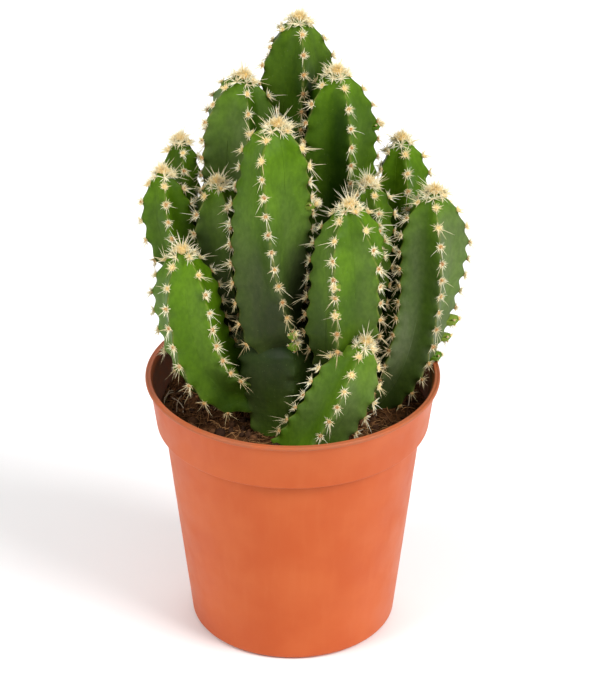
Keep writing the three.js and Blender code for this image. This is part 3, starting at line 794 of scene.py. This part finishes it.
class SpineSet:
    """Collects the spines of one stem."""

    def __init__(self, draw):
        self.draw = draw
        self.rows = []

    def add(self, root, direction, length, radius, bend, fresh, tones=(0.4, 1.0)):
        self.rows.append((root, direction, length, radius, bend, fresh, self.draw.uniform(*tones)))

    def keep(self, test):
        tips = np.array([row[0] + row[1] * row[2] for row in self.rows])
        middles = np.array([row[0] + row[1] * row[2] * 0.5 for row in self.rows])
        blocked = test(tips) | test(middles)
        self.rows = [row for row, hit in zip(self.rows, blocked) if not hit]

    def mesh(self):
        """Slightly curved four-sided spines of three stretches."""
        root, direction, length, radius, bend, fresh, tone = (np.array(c, float) for c in zip(*self.rows))
        t = np.array([0.0, 0.4, 0.75, 1.0])
        along = (length[:, None] + SPINE_SINK * MM) * t - SPINE_SINK * MM
        paths = root[:, None] + direction[:, None] * along[..., None]
        paths = paths + bend[:, None] * (length[:, None] * t**2)[..., None]
        thickness = radius[:, None] * np.array([1.0, 0.8, 0.5, 0.0])
        vertices, faces, shares = strands(paths, thickness, 4)
        each = len(vertices) // len(root)
        tones = {"fresh": np.repeat(fresh, each), "tone": np.repeat(tone, each)}
        return vertices, faces, {"along": shares, **tones}


def around(normal, up, lean, angle):
    """A direction that leans from the normal by lean, turned by angle from up."""
    side = np.cross(normal, up)
    flat = up * math.cos(angle) + side * math.sin(angle)
    return normal * math.cos(lean) + flat * math.sin(lean)


def pick(draw, limits):
    """A whole number or a size between two limits."""
    if isinstance(limits[0], int):
        return draw.integers(limits[0], limits[1] + 1)
    return draw.uniform(*limits)


def cushion_spines(spines, root, normal, up, fresh, draw):
    """Bits of wool, a star of short spines, and a few long thin ones that mostly point down and out."""
    scale = 0.85 + 0.3 * draw.random()
    share_kept = 0.45 + 0.55 * min(1.0, 2 * fresh)
    kinds = [
        (WOOL_BITS, WOOL_LENGTH, WOOL_RADIUS, (25, 85), (0.2, 1.0)),
        (SHORT_SPINES, SHORT_LENGTH, SHORT_RADIUS, (30, 84), (0.4, 1.0)),
    ]
    for numbers, lengths, thickness, leans, tones in kinds:
        count = round(pick(draw, numbers) * share_kept)
        start = draw.uniform(0, math.tau)
        for index in range(count):
            angle = start + math.tau * (index + draw.uniform(-0.35, 0.35)) / count
            direction = around(normal, up, math.radians(pick(draw, leans)), angle)
            flat = around(normal, up, math.pi / 2, angle)
            place = root + flat * pick(draw, CUSHION_SPREAD) * MM
            length = pick(draw, lengths) * scale * MM
            radius = thickness * draw.uniform(0.75, 1.2) * MM
            spines.add(place, direction, length, radius, normal * draw.uniform(-0.1, 0.2), fresh, tones)
    for _ in range(pick(draw, LONG_SPINES)):
        angle = math.pi + draw.normal(0, 0.9)
        direction = around(normal, up, math.radians(draw.uniform(20, 65)), angle)
        length = pick(draw, LONG_LENGTH) * scale * MM
        radius = LONG_RADIUS * draw.uniform(0.8, 1.2) * MM
        spines.add(root, direction, length, radius, -up * draw.uniform(-0.05, 0.15), fresh)


def tuft_scale(stem):
    """A tuft's size grows with the square root of its stem's."""
    return (stem.radius / (TUFT_STEM_RADIUS * MM)) ** 0.5


def tip_tuft(spines, stem, draw):
    """The young cushions on a tip: a round golden heart, a ring of paler clusters and a few long spines."""
    centre, tangent, front, side = stem.tip()
    scale = tuft_scale(stem)
    reach = TUFT_REACH * MM * scale
    heart = centre + tangent * 0.2 * MM
    straight = np.zeros(3)
    for _ in range(TUFT_HEART):
        lean = math.radians(88 * math.sqrt(draw.random()))
        direction = around(tangent, front, lean, draw.uniform(0, math.tau))
        root = heart + direction * TUFT_MOUND * scale * MM * 0.75
        length = pick(draw, TUFT_LENGTH) * MM
        spines.add(root, direction, length, draw.uniform(0.08, 0.13) * MM, straight, 1.0, (0.0, 0.9))
    for _ in range(TUFT_LONG):
        lean = math.radians(draw.uniform(8, 80))
        direction = around(tangent, front, lean, draw.uniform(0, math.tau))
        length = pick(draw, TUFT_LONG_LENGTH) * scale * MM
        spines.add(heart + direction * MM, direction, length, SHORT_RADIUS * MM, tangent * 0.05, 0.85)
    clusters = []
    for cluster in range(TUFT_CLUSTERS):
        angle = stem.turn + math.tau * cluster / TUFT_CLUSTERS + draw.uniform(-0.3, 0.3)
        flat = front * math.cos(angle) + side * math.sin(angle)
        place = centre + flat * reach * draw.uniform(0.8, 1.15) - tangent * 0.9 * MM
        clusters.append((place, unit(tangent + flat)))
    for place, normal in clusters:
        up = unit(front - normal * front.dot(normal))
        for _ in range(TUFT_CLUSTER):
            angle = draw.uniform(0, math.tau)
            direction = around(normal, up, math.radians(85 * math.sqrt(draw.random())), angle)
            root = place + around(normal, up, math.pi / 2, angle) * draw.uniform(0, 1.1) * MM
            radius = draw.uniform(0.11, 0.16) * MM
            spines.add(root, direction, pick(draw, TUFT_RIM_LENGTH) * MM, radius, straight, 0.8)


def cushion_mesh(places, draw):
    """Small felt mounds, one on each place of (root, normal, up, fresh, size)."""
    rings = [(0, -0.5), (0.75, -0.45), (1, 0), (0.85, 0.38), (0.45, 0.68), (0, 0.75)]
    form, pattern = lump(rings, 9)
    vertices = []
    faces = []
    tones = []
    for number, (root, normal, up, _, size) in enumerate(places):
        width = size * draw.uniform(0.85, 1.2)
        tall = size * draw.uniform(0.8, 1.1)
        axes = np.array([np.cross(up, normal) * width * 0.85, up * width, normal * tall])
        vertices.append(uneven(form, root, axes, (0.82, 1.18), draw))
        faces += shifted(pattern, number * len(form))
        tones.append(draw.random())
    fresh = np.repeat([place[3] for place in places], len(form))
    return np.concatenate(vertices), faces, {"fresh": fresh, "tone": np.repeat(tones, len(form))}


def bud_stem(stem, rib, drop, size, woolly):
    """A bud as a very short stem that leans out of a rib's crest."""
    distance = np.array([drop * MM])
    root, out, tangent = (v[0] for v in stem.surface(distance, rib, np.zeros(1)))
    root, size = root / MM, size * (1 if woolly else BUD_SWELL)
    heading = unit(out + 0.35 * tangent)
    foot = root - heading * size * 0.9
    tip = root + heading * size * 1.25
    middle = tip - heading * size * 0.5 + tangent * 0.1
    path = [foot, foot + heading * size * 0.4, middle, tip + tangent * 0.2]
    return Stem(path, size, 20 + 31 * rib, dome=1.2, neck=0.7, valley=0.8, fresh=1.6)


def build_stems(materials):
    stems = {name: Stem(**entry) for name, entry in STEMS.items()}
    for number, (name, stem) in enumerate(stems.items()):
        draw = np.random.default_rng(100 + number)
        others = [other for key, other in stems.items() if key != name]

        def blocked(points, margin=0.3 * MM):
            hit = np.zeros(len(points), bool)
            for other in others:
                hit |= other.inside(points, margin)
            return hit | (points[:, 2] < SOIL_LEVEL * MM - 0.5 * MM)

        add_piece(name + "_flesh", materials["flesh"], skin(stem), (name,))
        if stem.bare:
            continue
        places = cushion_places(stem)
        hidden = blocked(np.array([root for root, *_ in places]), -0.2 * MM)
        places = [place for place, hit in zip(places, hidden) if not hit]
        spines = SpineSet(draw)
        mounds = []
        for root, normal, up, fresh in places:
            cushion_spines(spines, root, normal, up, fresh, draw)
            mounds.append((root, normal, up, fresh, CUSHION_RADIUS * MM))
        centre, tangent, front, _ = stem.tip()
        tip_tuft(spines, stem, draw)
        top = centre + tangent * 0.2 * MM
        mounds.append((top, tangent, front, 1.0, TUFT_MOUND * tuft_scale(stem) * MM))
        for entry in stem.buds:
            build_bud(stem, entry, name, spines, mounds, materials, draw)
        spines.keep(blocked)
        add_piece(name + "_spines", materials["spines"], spines.mesh())
        add_piece(name + "_cushions", materials["wool"], cushion_mesh(mounds, draw))


def build_bud(stem, entry, name, spines, mounds, materials, draw):
    """A green bud with its own small cushions and a woolly tip."""
    bud = bud_stem(stem, *entry)
    rib, drop, size, woolly = entry
    add_piece(f"{name}_bud_{rib}_{drop}", materials["flesh"], skin(bud))
    centre, tangent, front, _ = bud.tip()
    top = centre - tangent * 0.3 * MM
    mounds.append((top, tangent, front, 0.9, (1.3 if woolly else 0.75) * MM))
    for _ in range(round(BUD_SPINES * size) * (WOOLLY if woolly else 1)):
        angle = draw.uniform(0, math.tau)
        lean = math.radians(draw.uniform(10, 95))
        direction = around(tangent, front, lean, angle)
        length = draw.uniform(0.5, 1.3) * size * MM
        spines.add(top, direction, length, 0.13 * MM, np.zeros(3), 0.9, (0.2, 1.0))
    for bud_rib in range(bud.ribs):
        crest, out, up = (v[0] for v in bud.surface(np.array([bud.length * 0.4]), bud_rib, np.zeros(1)))
        mounds.append((crest, out, up, 0.8, 0.4 * MM))
        for _ in range(BUD_RIB_SPINES):
            direction = around(out, up, math.radians(draw.uniform(10, 80)), draw.uniform(0, math.tau))
            length = draw.uniform(0.5, 1.2) * MM
            spines.add(crest, direction, length, LONG_RADIUS * MM, np.zeros(3), 0.9, (0.3, 1.0))


# ---- Pot


def arc(centre_radius, centre_height, radius, start, end, steps):
    """Points of a rounded corner, angles in degrees from straight out."""
    points = []
    for angle in np.linspace(math.radians(start), math.radians(end), steps):
        points.append((centre_radius + radius * math.cos(angle), centre_height + radius * math.sin(angle)))
    return points


def inner_wall():
    """The inner wall from the floor up to the foot of the band."""
    return [(BODY_FOOT_RADIUS - WALL - 1, FLOOR_TOP), (BODY_FOOT_RADIUS - WALL, FLOOR_TOP + 1),
            (BODY_TOP_RADIUS - WALL, BAND_FOOT - WALL), (INNER_RADIUS, BAND_FOOT + WALL)]


def pot_profile():
    ring_outer = BODY_FOOT_RADIUS - FOOT_ROUNDING
    ring_inner = ring_outer - FOOT_RING_WIDTH
    lip_under = POT_HEIGHT - LIP_THICKNESS
    lip_inner = LIP_RADIUS - LIP_WIDTH
    underside = [(0, 0), (PAD_RADIUS, 0), (PAD_RADIUS + UNDERSIDE_RECESS, UNDERSIDE_RECESS),
                 (ring_inner - UNDERSIDE_RECESS, UNDERSIDE_RECESS), (ring_inner, 0)]
    foot = arc(ring_outer, FOOT_ROUNDING, FOOT_ROUNDING, -90, -5, 8)
    step = arc(BODY_TOP_RADIUS + 1.0, BAND_FOOT - 1.0, 1.0, 180, 100, 5)
    step += arc(BAND_FOOT_RADIUS - 0.9, BAND_FOOT + 0.9, 0.9, -80, -5, 6)
    lip = [(BAND_TOP_RADIUS - 0.05, lip_under - 0.9), (BAND_TOP_RADIUS + 0.3, lip_under - 0.25)]
    lip += arc(LIP_RADIUS - 0.55, lip_under + 0.5, 0.55, -75, 0, 5)
    lip += arc(LIP_RADIUS - 0.6, POT_HEIGHT - 0.6, 0.6, 0, 90, 6)
    lip += [(LIP_RADIUS - 1.0, POT_HEIGHT - 0.22), (LIP_RADIUS - 1.4, POT_HEIGHT - 0.22)]
    lip += [(lip_inner + 0.45, POT_HEIGHT - 0.02), (lip_inner + 0.1, POT_HEIGHT - 0.3)]
    foot_inside, *body_inside, band_inside = inner_wall()
    inside = [(BAND_TOP_RADIUS - WALL - 0.3, POT_HEIGHT - 2.2), band_inside,
              (BODY_TOP_RADIUS - WALL + 0.6, BAND_FOOT - 0.4), *reversed(body_inside), foot_inside]
    return underside + foot + step + lip + inside + [(0, FLOOR_TOP)]


def build_pot(material):
    pot = add_piece("pot_shell", material, turned(pot_profile(), POT_SIDES), ("pot",))
    drills = []
    for hole in range(DRAIN_HOLES):
        angle = math.tau * (hole + 0.5) / DRAIN_HOLES
        rod, rod_faces = turned([(0, -5), (DRAIN_RADIUS, -5), (DRAIN_RADIUS, 8), (0, 8)], DRAIN_SIDES)
        shift = np.array([math.cos(angle), math.sin(angle), 0]) * DRAIN_CIRCLE_RADIUS * MM
        drill = mesh_object(f"drill_{hole}", material, rod + shift, rod_faces)
        drills.append(drill)
        cut = pot.modifiers.new("drain", "BOOLEAN")
        cut.operation = "DIFFERENCE"
        cut.solver = "EXACT"
        cut.object = drill
    made = bpy.data.meshes.new_from_object(pot.evaluated_get(bpy.context.evaluated_depsgraph_get()))
    pot.modifiers.clear()
    pot.data = made
    for drill in drills:
        bpy.data.objects.remove(drill)
    mark_parts(pot.data)


def mark_parts(mesh):
    """Marks the pot's inner wall and floor as inside, and its lip as lip."""
    x, y, z = np.array([vertex.co for vertex in mesh.vertices]).T / MM
    heights = [FLOOR, BAND_FOOT, BAND_FOOT + 0.1, POT_HEIGHT]
    outside = [BODY_FOOT_RADIUS, BODY_TOP_RADIUS, BAND_FOOT_RADIUS, BAND_TOP_RADIUS]
    middle = np.interp(z, heights, outside) - WALL / 2
    inside = (np.hypot(x, y) < middle) & (z > FLOOR) & (z < POT_HEIGHT - 1.0)
    lip = z > POT_HEIGHT - LIP_THICKNESS
    set_attributes(mesh, {"inside": inside, "lip": lip})


# ---- Soil


def soil_height(x, y):
    """The soil's height in millimetres: low swells, clods and crumbs."""
    swells = math.sin(0.19 * x + 0.8) * math.cos(0.16 * y - 0.5)
    crumbs = 0.6 * math.sin(0.47 * x - 0.31 * y) * math.cos(0.38 * x + 0.29 * y)
    clods = noise.fractal(Vector((x * 0.16, y * 0.16, 3.0)), 0.9, 2.0, 5)
    return SOIL_LEVEL + SOIL_RELIEF * (swells + crumbs) + CLOD_RELIEF * clods


def build_soil(material):
    wall = [(radius - 1.5 * SOIL_GAP, height + SOIL_GAP) for radius, height in inner_wall()]
    edge = INNER_RADIUS - SOIL_GAP
    top = [(edge * ring / SOIL_RINGS, SOIL_LEVEL) for ring in range(SOIL_RINGS, -1, -1)]
    vertices, faces = turned([(0, FLOOR_TOP + SOIL_GAP), *wall, *top], SOIL_SIDES)
    for vertex in vertices:
        if vertex[2] > (SOIL_LEVEL - 0.01) * MM:
            vertex[2] = soil_height(vertex[0] / MM, vertex[1] / MM) * MM
    add_piece("soil_bed", material, (vertices, faces), ("soil",))


def soil_spot(draw, margin):
    """A random place on the soil, in millimetres."""
    reach = (INNER_RADIUS - margin) * math.sqrt(draw.random())
    angle = draw.uniform(0, math.tau)
    return reach * math.cos(angle), reach * math.sin(angle)


def crawl(draw, x, y, heading, curl, length, points, height):
    """A wandering path over the soil, inside the pot, whose height comes from height(x, y, share)."""
    path = np.zeros((points, 3))
    for index in range(points):
        over = max(1.0, math.hypot(x, y) / (INNER_RADIUS - LITTER_MARGIN))
        x, y = x / over, y / over
        path[index] = (x, y, height(x, y, index / (points - 1)))
        heading += curl + draw.normal(0, WANDER)
        x += math.cos(heading) * length / (points - 1)
        y += math.sin(heading) * length / (points - 1)
    return path


def add_litter(name, paths, radii, sides, tones, material):
    """Strands on the soil as one piece, each with a tone of its own."""
    vertices, faces, _ = strands(np.array(paths) * MM, np.array(radii) * MM, sides)
    tone = np.repeat(tones, len(vertices) // len(paths))
    add_piece(name, material, (vertices, faces, {"tone": tone}))


def build_fibres(material):
    """Thin curved fibres that lie on the soil, a few of them standing up a little."""
    draw = np.random.default_rng(7)
    paths = []
    radii = []
    for _ in range(FIBRES):
        x, y = soil_spot(draw, 2 * LITTER_MARGIN)
        heading = draw.uniform(0, math.tau)
        length = draw.uniform(*FIBRE_LENGTH)
        curl = draw.normal(0, 0.1)
        lift = abs(draw.normal(0, 0.5))

        def height(x, y, share):
            return soil_height(x, y) + 0.3 + lift * 4 * share * (1 - share)

        paths.append(crawl(draw, x, y, heading, curl, length, FIBRE_POINTS, height))
        radii.append(draw.uniform(*FIBRE_RADIUS) * np.linspace(1, 0.5, FIBRE_POINTS))
    add_litter("soil_fibres", paths, radii, 4, draw.random(FIBRES) ** 1.6, material)


def build_roots(material):
    """A few pale thin roots that arch out of the soil, the first ones at the left."""
    draw = np.random.default_rng(19)

    def height(x, y, share):
        return soil_height(x, y) - 0.3 + 4 * draw.uniform(*ROOT_RISE) * share * (1 - share)

    paths = []
    radii = []
    for root in range(ROOTS):
        at_left = root < ROOTS_AT_LEFT
        angle = math.radians(draw.uniform(158, 176)) if at_left else draw.uniform(0, math.tau)
        reach = draw.uniform(40, 45)
        heading = angle + math.pi / 2 + draw.normal(0, 0.25)
        length = draw.uniform(*ROOT_LENGTH)
        x, y = reach * math.cos(angle), reach * math.sin(angle)
        paths.append(crawl(draw, x, y, heading, 0.0, length, ROOT_POINTS, height))
        radii.append(np.full(ROOT_POINTS, draw.uniform(*ROOT_RADIUS)))
    add_litter("soil_roots", paths, radii, 5, draw.random(ROOTS), material)


def build_crumbs(material):
    """Irregular crumbs of peat and bark on the soil."""
    draw = np.random.default_rng(5)
    form, pattern = lump([(0, -1), (0.8, -0.6), (1, 0.05), (0.75, 0.65), (0, 1)], 7)
    vertices = []
    faces = []
    tones = []
    for number in range(CRUMBS):
        size = SMALLEST_CRUMB + CRUMB_RANGE * draw.random() ** 3
        x, y = soil_spot(draw, 2.5 + size)
        turn = draw.uniform(0, math.tau)
        x_way, y_way = math.cos(turn), math.sin(turn)
        axes = np.array([(x_way, y_way, 0), (-y_way, x_way, 0), (0, 0, 1)])
        axes = axes * draw.uniform(0.6, 1.3, (3, 1)) * size
        vertices.append(uneven(form, (x, y, soil_height(x, y) + 0.3 * size), axes, (0.75, 1.25), draw))
        faces += shifted(pattern, number * len(form))
        tones.append(draw.random() ** 2)
    tone = np.repeat(tones, len(form))
    add_piece("soil_crumbs", material, (np.concatenate(vertices) * MM, faces, {"tone": tone}))


# ---- Scene


def build_scene():
    make_camera()
    light_studio()
    make_floor()
    build_pot(pot_material())
    build_soil(soil_material())
    build_fibres(litter_material("peat_fibres", (0.10, 0.04, 0.015), (0.60, 0.31, 0.12)))
    build_roots(litter_material("pale_roots", (0.42, 0.28, 0.17), (0.74, 0.62, 0.46)))
    build_crumbs(litter_material("peat_crumbs", (0.035, 0.015, 0.007), (0.28, 0.12, 0.045)))
    build_stems({"flesh": flesh_material(), "spines": spine_material(), "wool": cushion_material()})


build_scene()
